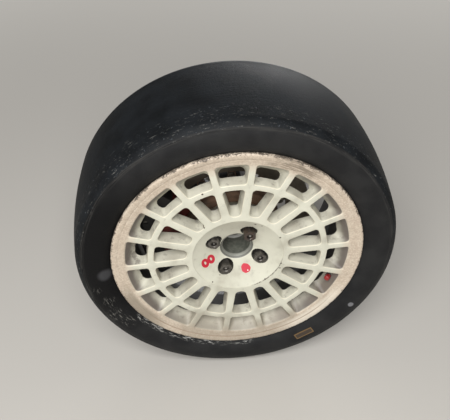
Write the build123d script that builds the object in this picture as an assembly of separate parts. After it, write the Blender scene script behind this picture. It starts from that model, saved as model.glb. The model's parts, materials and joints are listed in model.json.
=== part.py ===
# Front wheel corner of a rally car: tyre, cast rim, hub, vented brake disc, caliper and knuckle.
# Millimetres, +Z up. The wheel turns about Y, its outer face looks along -Y, and -X is towards the car's nose.
# Everything is drawn about the wheel's axis, with Y = 0 in the plane of the rim's outer edge, and write()
# moves it so that the row's origin lies midway between the two strut bolts.
from build123d import *
from math import asin, cos, degrees, hypot, radians, sin
import os

# Rim
rim_edge_r = 235.8            # 17 inch seat with a 17.5 mm high flange
rim_width = 216.0             # over both flanges
seat_r = 218.3                # bead seat, middle
seat_rise = 0.9               # taper of the seat, each way from its middle
flange_w = 13.0               # edge plane to bead seat
flange_round = 3.0            # of its edge
flange_side = 7.0             # how far its edge goes straight back
flange_back = 10.5            # edge plane to the flange's back
seat_w = 20.0
lip_w, lip_fall = 8.0, 0.6    # flange's flat edge and how far it falls over that
lip_round = 2.5
barrel_wall = 6.5
well_r = 198.5                # outside of the drop well
well_from, well_to = 52.0, 92.0
inner_slope_to = 150.0        # where the barrel reaches its inboard height again
inner_slope_run = 20.0        # inside, from the inboard seat's end to the start of the slope
hub_face_y = 78.0             # where the rim bears on the disc bell
bore_r = 29.05
bore_lip_r = 31.0
bore_mouth_y = 34.0
dish_r = 85.5                 # edge of the hollow around the nuts
dish_mid_r, dish_mid_y = 60.0, 20.6
face_y = 5.5                  # face of the inner hub ring
mid_face_y = 4.2              # face of the ring between the two rows of windows
pad_r = 73.0                  # back of the rim where it meets the bell
shoulder_r, shoulder_y = 88.0, 50.0  # between the pad and the backs of the spokes
spoke_back_y = 37.0           # back of the spokes at their inner ends
ring_back_y = 28.0            # back of the middle ring and of the ribs

# Windows. Each row has its outline at the mouth and at the back, and straight walls between the two.
window_land = 2.0             # from a window to where the rim's face or back turns
spokes = 18
spoke_deg = 3.26              # first spoke, counted from +X towards +Z
inner_in, inner_out = 96.0, 157.0              # radius of the inner row's ends, at the mouth
inner_back_in, inner_back_out = 98.0, 156.5    # and at the back
outer_in, outer_out = 168.0, 211.5             # the outer row's ends, at the mouth
outer_back_in, outer_back_out = 170.0, 190.5   # and at the back
inner_mouth_y = 4.5
window_rows = [
    # y, radius of the inner and outer end, and web and corner at each end
    dict(mouth=dict(y=inner_mouth_y, r_in=inner_in, r_out=inner_out,
                    web_in=15.2, web_out=12.7, corner_in=8.4, corner_out=7.0),
         back=dict(y=spoke_back_y, r_in=inner_back_in, r_out=inner_back_out,
                   web_in=20.5, web_out=19.5, corner_in=5.5, corner_out=5.0)),
    dict(mouth=dict(y=mid_face_y, r_in=outer_in, r_out=outer_out,
                    web_in=11.6, web_out=11.6, corner_in=5.5, corner_out=5.5),
         back=dict(y=ring_back_y, r_in=outer_back_in, r_out=outer_back_out,
                   web_in=15.5, web_out=15.5, corner_in=5.5, corner_out=12.0)),
]

# Wheel nuts and studs
stud_count = 4
stud_pcd = 98.0
stud_deg = 63.5               # first stud, counted from +X towards +Z
stud_r = 6.0
stud_hole_r = 6.8
pocket_r = 15.5               # round pocket for each nut
pocket_floor_y = 45.0
nut_af = 19.0
nut_seat_h = 4.5              # cone under each nut
nut_proud = [16.0, 6.5, 6.5, 6.5]    # how far each nut stands out of its pocket's mouth
pocket_mouth_y = 24.0
stud_recess = 3.0             # stud end below the nut's face
nut_turn = 17.0               # from one nut to the next

# Valve, leaning inwards from the wall of its window
valve_deg = -24.0
valve_tip_r, valve_tip_y = 190.2, 6.5    # middle of the cap's end
valve_tilt = 33.0
valve_len = 42.0
valve_foot_at = 13.5          # start of the rubber foot, from the cap's end
valve_stem_r = 4.0
valve_foot_r = 5.7
valve_hole_r = 5.8
valve_cap_r, valve_cap_len = 5.6, 12.0
cap_wall = 2.7

# Tyre
tyre_r = 306.0
tyre_bulge = 6.0              # sidewall beyond the rim's edge plane
tyre_bulge_r = 264.0
tyre_shoulder_r = 296.0
tread_edge_in = 21.0          # from the rim's edge plane to the edge of the tread
tread_drop = 5.0              # crown to tread edge
side_wall = 10.0
tread_wall = 15.0
cavity_foot_y, cavity_shoulder_y, cavity_top_y = 16.0, 15.0, 40.0
bead_gap = 0.3

# Hub, bearing and shaft
spigot_gap = 0.05
spigot_in_r = 26.0
spigot_from_y = 36.0
spigot_mouth = (2.4, 5.0)     # bevel inside the nose, in radius and in depth
land_y = 87.0                 # step in the hollow, where the smaller hollow for the nut begins
land_r = 21.0
recess_floor_y = 101.5
hub_flange_r = 68.0
hub_flange_t = 12.0
journal_r = 22.45
journal_end_y = 152.0
shaft_r = 14.0
shaft_gap = 0.1
shaft_end_y = 88.5
washer_r, washer_t = 20.5, 2.0
hub_nut_af, hub_nut_t = 34.0, 10.0
bearing_gap = 0.05
bearing_r = 42.0
bearing_y = (106.0, 151.0)

# Brake disc
bell_t = 8.0
bell_r = 92.0
bell_wall = 7.0
disc_r = 157.5
disc_in_r = 111.0
disc_face_y = 122.0
disc_t = 28.0
disc_cheek = 8.5
vanes = 36
vane_t = 4.0
vane_sweep = 24.0             # degrees that a vane leans back over its length
lug_count = 10
lug_r = 8.0
lug_ring_r = 100.0
lug_hole_r = 4.2
lug_y = 126.0                 # bell's lug, behind the disc's front face
lug_t, ear_t_disc = 5.0, 6.0
bolt_head_h = 3.0

# Caliper and pads
caliper_deg = 180.0           # middle of the caliper, counted from +X towards +Z
caliper_half_deg = 35.0
window_half_deg = 22.0
caliper_in_r = 100.0
caliper_out_r = 184.0
bridge_in_r = 163.5
half_w = 42.0                 # disc face to the outside of a half
piston_wall = 24.0
slot_gap = 6.0                # disc face to the caliper
piston_boss_r = 20.0
piston_boss_h = 4.0
piston_deg = 12.5
piston_ring_r = 134.0
caliper_round = 10.0
pad_in_r, pad_out_r = 112.0, 156.0
pad_half_deg = 21.0
pad_gap = 0.5                 # pad to disc
pin_r = 4.0
pin_gap = 0.1
pin_ring_r = 173.0
pin_deg = 11.0

# Knuckle
housing_r = 53.0
housing_y = (104.0, 185.0)
shaft_bore_r = 36.0
web_y = (158.0, 180.0)
ear_t = 26.0
ear_y = (210.0, 254.0)
ear_z = (100.0, 194.0)
ear_pad_r, ear_pad_h = 13.0, 1.5     # raised faces around the strut bolts
foot_z = 45.0                 # where the limbs leave the housing
limb_foot_w = 56.0            # width of the upper and lower limbs there
lower_w = 30.0
gusset_t = 8.0
strut_bolt_y = 232.0
strut_bolt_z = 148.0          # middle of the two bolts
strut_bolt_gap = 60.0
strut_hole_r = 7.2
ball_y, ball_z = 177.0, -112.0
ball_boss_r, ball_boss_h = 19.0, 40.0
ball_bore_r = 8.5
steer_x, steer_y, steer_z = 128.0, 186.0, 22.0
steer_boss_r, steer_boss_h = 15.0, 26.0
steer_bore_r = 6.5
steer_root = (44.0, 170.0)    # steering arm's end at the housing, in x and y
steer_root_r, steer_arm_h = 12.5, 18.0
caliper_lug_deg = 29.5        # caliper bolts, each way from the caliper's middle
caliper_lug_t = 22.0          # caliper's own lug under each bolt
caliper_bolt_ring_r = 113.0
caliper_bolt_r = 6.0
caliper_bolt_gap = 0.2
caliper_bolt_af, caliper_bolt_head_h = 17.0, 8.0
caliper_ear_r = 13.0
caliper_ear_t = 12.0
stalk_root_r, stalk_r = 36.0, 15.0   # caliper ears' limbs: where their inner ends are, and how wide
seat_gap = 0.3                # between pieces bolted together

# Driveshaft joint
joint_r = 46.0
joint_y = (192.0, 238.0)
joint_wall = 7.0
joint_floor = 5.5
joint_room_r = 52.0           # nothing of the knuckle stands closer to the bell than this
joint_neck_r = 30.0
joint_neck_gap = 0.3
race_r = 24.0
race_y = (199.0, 225.0)
race_bore_r = 13.0
balls = 6
ball_gap = 0.3

mid_y = rim_width / 2
pitch_deg = 360 / spokes
stud_ring_r = stud_pcd / 2
hub_seat_y = hub_face_y + bell_t
hub_back_y = hub_seat_y + hub_flange_t
disc_back_y = disc_face_y + disc_t
strut_mid = (0.0, strut_bolt_y, strut_bolt_z)


def at(r, deg, y=0.0):
    """A point on the circle of radius r about the wheel's axis."""
    return (r * cos(radians(deg)), y, r * sin(radians(deg)))


def spin(deg):
    """Turns a piece about the wheel's axis, from +X towards +Z."""
    return Rot(0, -deg, 0)


def turned(outline):
    """A ring whose section is given as (radius, y)."""
    return revolve(make_face(outline), Axis.Y, 360)


def lathe(*points):
    return turned(Polyline(*points, close=True))


def rod(r, y0, y1, x=0.0, z=0.0):
    """A round bar along Y."""
    return Pos(x, (y0 + y1) / 2, z) * Rot(90, 0, 0) * Cylinder(r, y1 - y0)


def prism(sketch, y0, y1):
    """A sketch drawn as (x, z), made solid from y0 to y1."""
    return extrude(Plane((0, y0, 0), x_dir=(1, 0, 0), z_dir=(0, -1, 0)) * sketch, y1 - y0, dir=(0, 1, 0))


def sector(r_in, r_out, half_deg, y0, y1, mid_deg):
    """Part of a ring, half_deg each way from mid_deg."""
    def p(r, d):
        return (r * cos(radians(d)), r * sin(radians(d)))
    a, b = mid_deg - half_deg, mid_deg + half_deg
    outline = [ThreePointArc(p(r_out, a), p(r_out, mid_deg), p(r_out, b)), Line(p(r_out, b), p(r_in, b)),
               ThreePointArc(p(r_in, b), p(r_in, mid_deg), p(r_in, a)), Line(p(r_in, a), p(r_out, a))]
    return prism(make_face(outline), y0, y1)


def write(node, *solids):
    """Moves a node from the wheel's axis to the row's origin and writes it."""
    moved = [Pos(-strut_mid[0], -strut_mid[1], -strut_mid[2]) * s for solid in solids for s in solid.solids()]
    export_step(moved[0] if len(moved) == 1 else Compound(children=moved), f"parts/{node}.step")


def window(p):
    """Outline of one opening about +X, drawn as (x, z), from a line of window_rows."""
    def edge(r, web):
        return pitch_deg / 2 - degrees(asin(web / 2 / r))

    def point(r, d):
        return (r * cos(radians(d)), r * sin(radians(d)))
    inner, outer = edge(p["r_in"], p["web_in"]), edge(p["r_out"], p["web_out"])
    a, b, c = [point(p["r_out"], d) for d in (-outer, 0, outer)]
    d, e, f = [point(p["r_in"], d) for d in (inner, 0, -inner)]
    face = make_face([ThreePointArc(a, b, c), Line(c, d), ThreePointArc(d, e, f), Line(f, a)])
    face = fillet(face.vertices().sort_by(Axis.X)[:2], p["corner_in"])
    return fillet(face.vertices().sort_by(Axis.X)[-2:], p["corner_out"])


def opening(row):
    """What one window takes out, a little past its mouth and its back."""
    def slice_at(share):
        p = {key: row["mouth"][key] + share * (row["back"][key] - row["mouth"][key]) for key in row["mouth"]}
        return Plane((0, p["y"], 0), x_dir=(1, 0, 0), z_dir=(0, -1, 0)) * window(p)
    return loft([slice_at(-0.15), slice_at(1.05)], ruled=True)


def rim():
    in_y = rim_width
    low, high = seat_r - seat_rise, seat_r + seat_rise
    seat_end = flange_w + seat_w
    well_in_r = well_r - barrel_wall
    barrel_in_r = seat_r - barrel_wall - 1.0
    section = Polyline(
        (bore_r, hub_face_y), (pad_r, hub_face_y), (pad_r + 5, hub_face_y - 7), (shoulder_r, shoulder_y),
        (inner_back_in - window_land, spoke_back_y), (inner_back_out + window_land, ring_back_y),
        (well_in_r, ring_back_y), (well_in_r, well_to), (barrel_in_r - 3, inner_slope_to),
        (barrel_in_r - 2, in_y - seat_end + inner_slope_run), (seat_r, in_y - flange_round),
        (rim_edge_r - lip_w, in_y), (rim_edge_r - lip_round, in_y), (rim_edge_r, in_y - flange_round),
        (rim_edge_r, in_y - flange_side), (rim_edge_r - flange_round, in_y - flange_back),
        (high + 6, in_y - flange_w), (high, in_y - flange_w),
        (low, in_y - seat_end), (seat_r - 4, inner_slope_to), (well_r, well_to), (well_r, well_from),
        (low, seat_end), (high, flange_w), (high + 6, flange_w), (rim_edge_r - flange_round, flange_back),
        (rim_edge_r, flange_side), (rim_edge_r, flange_round), (rim_edge_r - lip_round, 0),
        (rim_edge_r - lip_w, lip_fall), (outer_out + window_land, mid_face_y),
        (inner_out + window_land, mid_face_y), (inner_in - window_land, face_y), (dish_r + 1, face_y),
        (dish_r, face_y + 1.5))
    dish = ThreePointArc((dish_r, face_y + 1.5), (dish_mid_r, dish_mid_y), (bore_lip_r, bore_mouth_y))
    mouth = Polyline((bore_lip_r, bore_mouth_y), (bore_r, bore_mouth_y + 2), (bore_r, hub_face_y))
    body = turned([section, dish, mouth])
    cuts = []
    for row in window_rows:
        cut = opening(row)
        cuts += [spin(spoke_deg + pitch_deg * (k + 0.5)) * cut for k in range(spokes)]
    for k in range(stud_count):
        x, _, z = at(stud_ring_r, stud_deg + k * 360 / stud_count)
        cuts.append(rod(pocket_r, 0, pocket_floor_y, x, z))
        cuts.append(rod(stud_hole_r, 0, hub_face_y + 5, x, z))
    cuts.append(by_valve(rod(valve_hole_r, valve_foot_at - 6, valve_len + 5)))
    return body - cuts


def by_valve(piece):
    """Puts a piece drawn along +Y, from the middle of the cap's end, at the valve's place."""
    return spin(valve_deg) * Pos(valve_tip_r, valve_tip_y, 0) * Rot(0, 0, -valve_tilt) * piece


def valve():
    """Stem with its rubber foot, pushed through the slope of the drop well."""
    thread_r = valve_stem_r - 1
    return by_valve(lathe(
        (0, cap_wall + 0.3), (thread_r, cap_wall + 0.3), (thread_r, valve_cap_len),
        (valve_stem_r, valve_cap_len + 0.5), (valve_foot_r, valve_foot_at), (valve_foot_r, valve_len),
        (0, valve_len)))


def valve_cap():
    bore = valve_stem_r - 0.7
    return by_valve(lathe(
        (0, 0), (valve_cap_r - 1.5, 0), (valve_cap_r, 1.5), (valve_cap_r, valve_cap_len), (bore, valve_cap_len),
        (bore, cap_wall), (0, cap_wall)))


def between(a, b, share_r, share_y):
    """A point that has gone its own share of the way from a to b in each of radius and y."""
    return (a[0] + share_r * (b[0] - a[0]), a[1] + share_y * (b[1] - a[1]))


def tyre():
    """A shell open towards the rim, its two sides alike."""
    g = bead_gap
    seat_out, seat_in = seat_r + seat_rise, seat_r - seat_rise
    toe_y = flange_w + seat_w - 2
    clip_r = rim_edge_r - 6

    # outside of the sidewall, from the rim up
    heel = (seat_out + 1.5, flange_w + g)
    flange_top = (rim_edge_r + 1.5, 7.5)
    bulge = (tyre_bulge_r, -tyre_bulge)
    shoulder = (tyre_shoulder_r, 5.5)
    edge = (tyre_r - tread_drop, tread_edge_in)
    # cavity, from the bead up
    toe = (seat_in + g, toe_y)
    foot = (rim_edge_r + 8, cavity_foot_y)
    waist = (tyre_bulge_r, side_wall - tyre_bulge)
    corner = (tyre_bulge_r + 0.625 * (tyre_shoulder_r - tyre_bulge_r), cavity_shoulder_y)
    cavity = [toe, (seat_in + 9, toe_y), foot, between(foot, waist, 0.46, 0.7), waist,
              between(waist, corner, 0.5, 0.3), corner, (tyre_r - tread_wall, cavity_top_y)]

    def half(sign):
        def q(p):
            return (p[0], p[1] if sign > 0 else rim_width - p[1])
        lines = Polyline(*[q(p) for p in reversed(cavity)], q((seat_out + g, flange_w + g + 1.2)), q(heel),
                         q((clip_r, flange_w + g)), q(flange_top))
        wall = [ThreePointArc(q(flange_top), q(between(flange_top, bulge, 0.33, 0.58)), q(bulge)),
                ThreePointArc(q(bulge), q(between(bulge, shoulder, 0.56, 0.28)), q(shoulder)),
                ThreePointArc(q(shoulder), q(between(shoulder, edge, 0.64, 0.42)), q(edge))]
        return [lines] + wall, q(edge), q(cavity[-1])
    near, edge_a, top_a = half(1)
    far, edge_b, top_b = half(-1)
    return turned(near + far + [ThreePointArc(edge_a, (tyre_r, mid_y), edge_b), Line(top_a, top_b)])


def hexagon(af):
    return RegularPolygon(af / 2, 6, major_radius=False)


def wheel_nuts():
    nuts = []
    for k in range(stud_count):
        x, _, z = at(stud_ring_r, stud_deg + k * 360 / stud_count)
        top = pocket_mouth_y - nut_proud[k]
        base = pocket_floor_y
        nut = Pos(x, 0, z) * prism(Rot(0, 0, nut_turn * k) * hexagon(nut_af), top, base)
        corner_r = nut_af / 2 + 2.2
        round_off = Pos(x, 0, z) * lathe((0, top), (nut_af / 2 - 0.3, top), (corner_r, top + 1.8),
                                         (corner_r, base - nut_seat_h), (nut_af / 2 - 2, base), (0, base))
        nuts.append((nut & round_off) - rod(stud_r + 0.1, top - 1, base + 1, x, z))
    return nuts


def studs():
    bars = []
    for k in range(stud_count):
        x, _, z = at(stud_ring_r, stud_deg + k * 360 / stud_count)
        top = pocket_mouth_y - nut_proud[k] + stud_recess
        head = rod(stud_r + 2.5, hub_back_y, hub_back_y + 3.5, x, z)
        bars.append(rod(stud_r, top, hub_back_y, x, z) + head)
    return bars


def hub():
    out_r = bore_r - spigot_gap
    mouth_r, mouth_h = spigot_mouth
    body = lathe((shaft_r + shaft_gap, recess_floor_y), (land_r, recess_floor_y), (land_r, land_y),
                 (spigot_in_r, land_y), (spigot_in_r, spigot_from_y + mouth_h),
                 (spigot_in_r + mouth_r, spigot_from_y), (out_r - 0.3, spigot_from_y),
                 (out_r, spigot_from_y + 0.5), (out_r, hub_seat_y), (hub_flange_r - 1, hub_seat_y),
                 (hub_flange_r, hub_seat_y + 1),
                 (hub_flange_r, hub_back_y - 1), (hub_flange_r - 1, hub_back_y), (journal_r + 8, hub_back_y),
                 (journal_r + 6, bearing_y[0] - 0.3), (journal_r, bearing_y[0] - 0.3),
                 (journal_r, journal_end_y), (shaft_r + shaft_gap, journal_end_y))
    holes = []
    for k in range(stud_count):
        x, _, z = at(stud_ring_r, stud_deg + k * 360 / stud_count)
        holes.append(rod(stud_r + 0.1, hub_seat_y - 1, hub_back_y + 1, x, z))
    return body - holes


def hub_nut():
    top = recess_floor_y - washer_t - hub_nut_t
    nut = prism(hexagon(hub_nut_af), top, recess_floor_y - washer_t)
    washer = rod(washer_r, recess_floor_y - washer_t, recess_floor_y)
    return nut + washer - rod(shaft_r + shaft_gap, top - 1, recess_floor_y + 1)


def disc_bell():
    inner = bell_r - bell_wall
    end_y = lug_y + lug_t
    body = lathe((bore_r, hub_face_y), (bell_r - 5, hub_face_y), (bell_r, hub_face_y + 5), (bell_r, end_y),
                 (inner, end_y), (inner, hub_seat_y + 4), (inner - 4, hub_seat_y), (bore_r, hub_seat_y))
    lugs, holes = [], []
    for k in range(lug_count):
        deg = (k + 0.5) * 360 / lug_count
        x, _, z = at(lug_ring_r, deg)
        lug = rod(lug_r, lug_y, end_y, x, z)
        root = spin(deg) * Pos((bell_r - 3 + lug_ring_r) / 2, lug_y + lug_t / 2, 0) * Box(
            lug_ring_r - bell_r + 3, lug_t, 2 * lug_r)
        lugs.append(lug + root)
        holes.append(rod(lug_hole_r, lug_y - 2, end_y + 2, x, z))
    for k in range(stud_count):
        x, _, z = at(stud_ring_r, stud_deg + k * 360 / stud_count)
        holes.append(rod(stud_hole_r, hub_face_y - 1, hub_seat_y + 1, x, z))
    return (body + lugs) - holes


def disc_ring():
    """Two cheeks joined by swept vanes, with ears that the bell's lugs are bolted to."""
    front = lathe((disc_in_r, disc_face_y), (disc_r, disc_face_y), (disc_r, disc_face_y + disc_cheek),
                  (disc_in_r, disc_face_y + disc_cheek))
    back = lathe((disc_in_r, disc_back_y - disc_cheek), (disc_r, disc_back_y - disc_cheek),
                 (disc_r, disc_back_y), (disc_in_r, disc_back_y))
    r0, r1 = disc_in_r + 1, disc_r - 1.5
    vane_list = []
    for k in range(vanes):
        a = k * 360 / vanes

        def p(r, d):
            return (r * cos(radians(d)), r * sin(radians(d)))
        half0, half1 = degrees(vane_t / 2 / r0), degrees(vane_t / 2 / r1)
        rm = (r0 + r1) / 2
        bend = vane_sweep * 0.4
        outline = [ThreePointArc(p(r0, a - half0), p(rm, a - half0 + bend), p(r1, a + vane_sweep - half1)),
                   Line(p(r1, a + vane_sweep - half1), p(r1, a + vane_sweep + half1)),
                   ThreePointArc(p(r1, a + vane_sweep + half1), p(rm, a + half0 + bend), p(r0, a + half0)),
                   Line(p(r0, a + half0), p(r0, a - half0))]
        vane_list.append(prism(make_face(outline), disc_face_y + disc_cheek, disc_back_y - disc_cheek))
    ears, holes = [], []
    for k in range(lug_count):
        deg = (k + 0.5) * 360 / lug_count
        y0 = lug_y + lug_t
        ear = rod(lug_r, y0, y0 + ear_t_disc, *at(lug_ring_r, deg)[::2])
        root = spin(deg) * Pos((lug_ring_r + disc_in_r + 4) / 2, y0 + ear_t_disc / 2, 0) * Box(
            disc_in_r + 4 - lug_ring_r, ear_t_disc, 2 * lug_r)
        ears.append(ear + root)
        holes.append(rod(lug_hole_r, y0 - 2, y0 + ear_t_disc + 2, *at(lug_ring_r, deg)[::2]))
    return (front + back + vane_list + ears) - holes


def bell_bolts():
    bolts = []
    for k in range(lug_count):
        x, _, z = at(lug_ring_r, (k + 0.5) * 360 / lug_count)
        shank = rod(lug_hole_r - 0.1, lug_y, lug_y + lug_t + ear_t_disc, x, z)
        head = rod(lug_hole_r + 2.6, lug_y - bolt_head_h, lug_y, x, z)
        bolts.append(shank + head)
    return bolts


def half_body(sign):
    """One half of the caliper. sign is -1 for the outer half and +1 for the inner one."""
    mid = (disc_face_y + disc_back_y) / 2
    face = mid + sign * (disc_t / 2 + half_w)
    y0, y1 = min(mid, face), max(mid, face)
    body = sector(caliper_in_r, caliper_out_r, caliper_half_deg, y0, y1, caliper_deg)
    outer_edges = [e for e in body.edges() if abs(e.center().Y - mid) > 1
                   and abs(hypot(e.center().X, e.center().Z) - caliper_out_r) < 0.5]
    body = fillet(outer_edges, caliper_round)
    slot_y0, slot_y1 = sorted((mid, mid + sign * (disc_t / 2 + slot_gap)))
    body -= sector(caliper_in_r - 5, bridge_in_r, caliper_half_deg + 5, slot_y0, slot_y1, caliper_deg)
    pocket_y0, pocket_y1 = sorted((mid, face - sign * piston_wall))
    body -= sector(caliper_in_r - 5, caliper_out_r + 5, window_half_deg, pocket_y0, pocket_y1, caliper_deg)
    for side in (-1, 1):
        x, _, z = at(piston_ring_r, caliper_deg + side * piston_deg)
        b0, b1 = sorted((face - sign * 2, face + sign * piston_boss_h))
        body += rod(piston_boss_r, b0, b1, x, z)
        x, _, z = at(pin_ring_r, caliper_deg + side * pin_deg)
        body -= rod(pin_r + pin_gap, y0 - 1, y1 + 1, x, z)
    if sign > 0:
        lug_from = disc_back_y + slot_gap
        for side in (-1, 1):
            deg = caliper_deg + side * caliper_lug_deg
            body -= sector(caliper_in_r - 5, caliper_bolt_ring_r + caliper_ear_r + 2,
                           caliper_half_deg - caliper_lug_deg + 4, lug_from + caliper_lug_t, face + 1, deg)
            x, _, z = at(caliper_bolt_ring_r, deg)
            body -= rod(caliper_bolt_r + caliper_bolt_gap, lug_from - 1, face + 1, x, z)
    return body


def caliper_bolts():
    seat = disc_back_y + slot_gap + caliper_lug_t + seat_gap + caliper_ear_t
    bolts = []
    for side in (-1, 1):
        x, _, z = at(caliper_bolt_ring_r, caliper_deg + side * caliper_lug_deg)
        head = Pos(x, 0, z) * prism(hexagon(caliper_bolt_af), seat, seat + caliper_bolt_head_h)
        bolts.append(rod(caliper_bolt_r, disc_back_y + slot_gap + 2, seat, x, z) + head)
    return bolts


def pads(sign):
    near = disc_face_y - pad_gap if sign < 0 else disc_back_y + pad_gap
    far = near + sign * (half_w - piston_wall - pad_gap - 0.3)
    y0, y1 = min(near, far), max(near, far)
    return sector(pad_in_r, pad_out_r, pad_half_deg, y0, y1, caliper_deg)


def pad_pins():
    y0, y1 = disc_face_y - half_w + 3, disc_back_y + half_w - 3
    return [rod(pin_r, y0, y1, *at(pin_ring_r, caliper_deg + side * pin_deg)[::2]) for side in (-1, 1)]


def bearing():
    return lathe((journal_r + bearing_gap, bearing_y[0]), (bearing_r, bearing_y[0]), (bearing_r, bearing_y[1]),
                 (journal_r + bearing_gap, bearing_y[1]))


def limb(side_view, foot_w, end_w, z0, z1):
    """A limb of the knuckle from its outline in y and z. From z0 to z1 it narrows, and then it goes on."""
    a, b = foot_w / 2, end_w / 2
    past = z1 + (z1 - z0) * 4
    front_view = Polyline((-a, z0), (a, z0), (b, z1), (b, past), (-b, past), (-b, z1), close=True)
    body = extrude(Plane.YZ * make_face(Polyline(*side_view, close=True)), a, both=True)
    return body & prism(make_face(front_view), housing_y[0], ear_y[1] + 1)


def caliper_ear(side):
    """Limb with an ear that a caliper bolt goes through. It is thin where the caliper's lug stands in front."""
    ear_from = disc_back_y + slot_gap + caliper_lug_t + seat_gap
    ear_to = ear_from + caliper_ear_t
    deg = caliper_deg + side * caliper_lug_deg
    outline = make_hull((Pos(stalk_root_r, 0) * Circle(stalk_r)).edges()
                        + (Pos(caliper_bolt_ring_r, 0) * Circle(caliper_ear_r)).edges())
    body = spin(deg) * prism(outline, web_y[0] + 6, ear_to)
    body -= sector(caliper_in_r - 3, caliper_bolt_ring_r + 2 * caliper_ear_r, 15, web_y[0], ear_from, deg)
    x, _, z = at(caliper_bolt_ring_r, deg)
    return body - rod(caliper_bolt_r + caliper_bolt_gap, ear_from - 1, ear_to + 1, x, z)


def knuckle():
    y0, y1 = housing_y
    body = lathe((bearing_r, y0), (housing_r - 3, y0), (housing_r, y0 + 3), (housing_r, y1), (shaft_bore_r, y1),
                 (shaft_bore_r, bearing_y[1]), (bearing_r, bearing_y[1]))
    upper = [(web_y[0], foot_z), (web_y[1] + 4, foot_z), (ear_y[1], ear_z[0]), (ear_y[1], ear_z[1] - 12),
             (ear_y[1] - 12, ear_z[1]), (ear_y[0] + 4, ear_z[1]), (ear_y[0], ear_z[1] - 8),
             (ear_y[0] - 4, ear_z[0] + 30), (web_y[0], foot_z + 33)]
    body += limb(upper, limb_foot_w, ear_t, foot_z, ear_z[0])
    gusset = [(web_y[0], foot_z + 28), (web_y[0], foot_z + 52), (ear_y[0] - 5, ear_z[0] + 42),
              (ear_y[0], ear_z[0] + 30)]
    body += extrude(Plane.YZ * make_face(Polyline(*gusset, close=True)), gusset_t / 2, both=True)
    lower = [(web_y[0], -foot_z), (web_y[1], -foot_z), (ball_y + 10, ball_z),
             (ball_y - ball_boss_r + 1, ball_z)]
    body += limb(lower, limb_foot_w, lower_w, -foot_z, ball_z)
    body += Pos(0, ball_y, ball_z) * Cylinder(ball_boss_r, ball_boss_h)
    arm = make_hull((Pos(*steer_root) * Circle(steer_root_r)).edges()
                    + (Pos(steer_x, steer_y) * Circle(steer_boss_r - 5)).edges())
    body += Pos(0, 0, steer_z) * extrude(arm, steer_arm_h / 2, both=True)
    body += Pos(steer_x, steer_y, steer_z) * Cylinder(steer_boss_r, steer_boss_h)
    body += [caliper_ear(-1), caliper_ear(1)]
    bolts = [Pos(0, strut_bolt_y, strut_bolt_z + s * strut_bolt_gap / 2) * Rot(0, 90, 0) for s in (-1, 1)]
    body += [place * Cylinder(ear_pad_r, ear_t + 2 * ear_pad_h) for place in bolts]
    body -= [place * Cylinder(strut_hole_r, ear_t + 2 * ear_pad_h + 2) for place in bolts]
    body -= rod(bearing_r + bearing_gap, y0 - 1, bearing_y[1])
    body -= rod(shaft_bore_r, y0 - 1, y1 + 1)
    body -= rod(joint_room_r, y1, joint_y[1])
    body -= Pos(0, ball_y, ball_z) * Cylinder(ball_bore_r, ball_boss_h + 4)
    return body - Pos(steer_x, steer_y, steer_z) * Cylinder(steer_bore_r, steer_boss_h + 4)


def shaft():
    """Stub shaft and bell of the driveshaft's outer joint."""
    y0, y1 = joint_y
    neck_y = journal_end_y + joint_neck_gap
    inner = joint_r - joint_wall
    return lathe((0, shaft_end_y), (shaft_r - 1, shaft_end_y), (shaft_r, shaft_end_y + 1), (shaft_r, neck_y),
                 (joint_neck_r, neck_y), (joint_neck_r, y0 - 2), (joint_r - 8, y0), (joint_r, y0 + 8),
                 (joint_r, y1), (inner, y1), (inner, y0 + joint_floor + 9), (inner - 8, y0 + joint_floor),
                 (0, y0 + joint_floor))


def joint_balls():
    inner = joint_r - joint_wall
    ring_r, ball_r = (inner + race_r) / 2, (inner - race_r) / 2 - ball_gap
    return [Pos(*at(ring_r, k * 360 / balls, sum(race_y) / 2)) * Sphere(ball_r) for k in range(balls)]


def joint_race():
    y0, y1 = race_y
    return lathe((race_bore_r, y0), (race_r - 2, y0), (race_r, y0 + 4), (race_r, y1 - 4), (race_r - 2, y1),
                 (race_bore_r, y1))


def main():
    os.makedirs("parts", exist_ok=True)
    write("tyre", tyre())
    write("rim", rim())
    write("wheel_nuts", *wheel_nuts())
    write("wheel_studs", *studs())
    write("valve_stem", valve())
    write("valve_cap", valve_cap())
    write("hub", hub())
    write("hub_nut", hub_nut())
    write("disc_bell", disc_bell())
    write("disc_ring", disc_ring())
    write("disc_bolts", *bell_bolts())
    write("shaft_joint", shaft())
    write("joint_race", joint_race())
    write("joint_balls", *joint_balls())
    write("caliper_outer", half_body(-1))
    write("caliper_inner", half_body(1))
    write("pad_outer", pads(-1))
    write("pad_inner", pads(1))
    write("pad_pins", *pad_pins())
    write("caliper_bolts", *caliper_bolts())
    write("bearing", bearing())
    write("knuckle", knuckle())


main()
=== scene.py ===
import bmesh
import bpy
import json
from math import asin, atan2, cos, hypot, pi, radians, sin, tan
from mathutils import Matrix, Vector


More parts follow.
